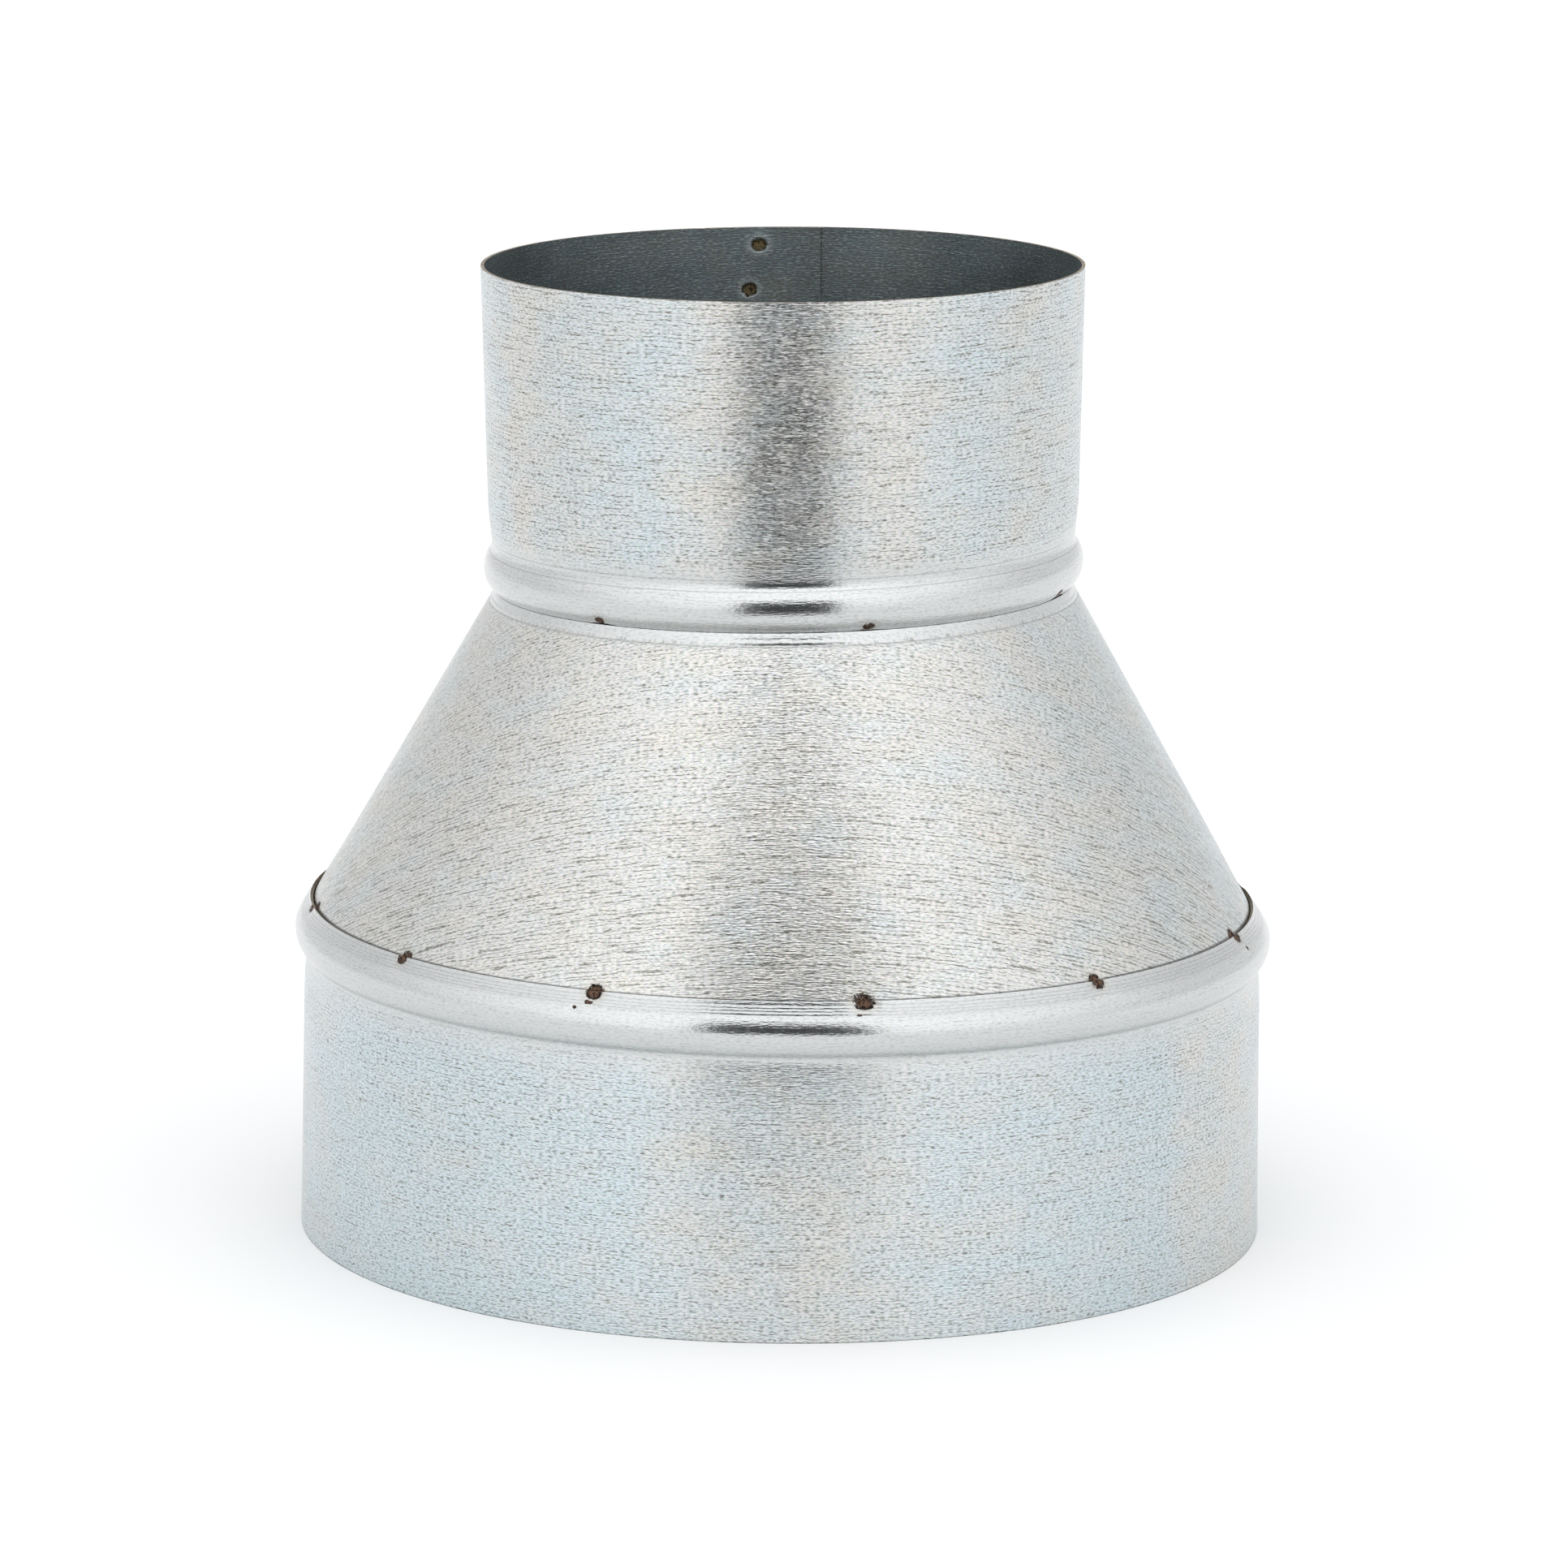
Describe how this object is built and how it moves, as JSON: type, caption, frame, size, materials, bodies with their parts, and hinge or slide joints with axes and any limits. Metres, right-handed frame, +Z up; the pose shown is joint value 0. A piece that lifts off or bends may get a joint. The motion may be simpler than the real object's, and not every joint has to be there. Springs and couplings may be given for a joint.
{
  "type": "duct reducer",
  "caption": "Round sheet-steel duct reducer: a short wide collar, a tapered cone and a short narrow collar, each collar with a stop bead, lapped and spot welded.",
  "frame": {"origin": "centre of the large end's rim, on the plane that the rim stands on", "axes": "+Z up the duct from the large end to the small end, the front is -Y, the lap seams are near +Y"},
  "size_m": [0.204, 0.204, 0.2025],
  "materials": {
    "galvanised_steel": "satin zinc coat with fine rolling streaks, brown spots at the welds"
  },
  "bodies": {
    "root": {"small_collar": "galvanised_steel", "cone": "galvanised_steel", "large_collar": "galvanised_steel"}
  },
  "joints": []
}
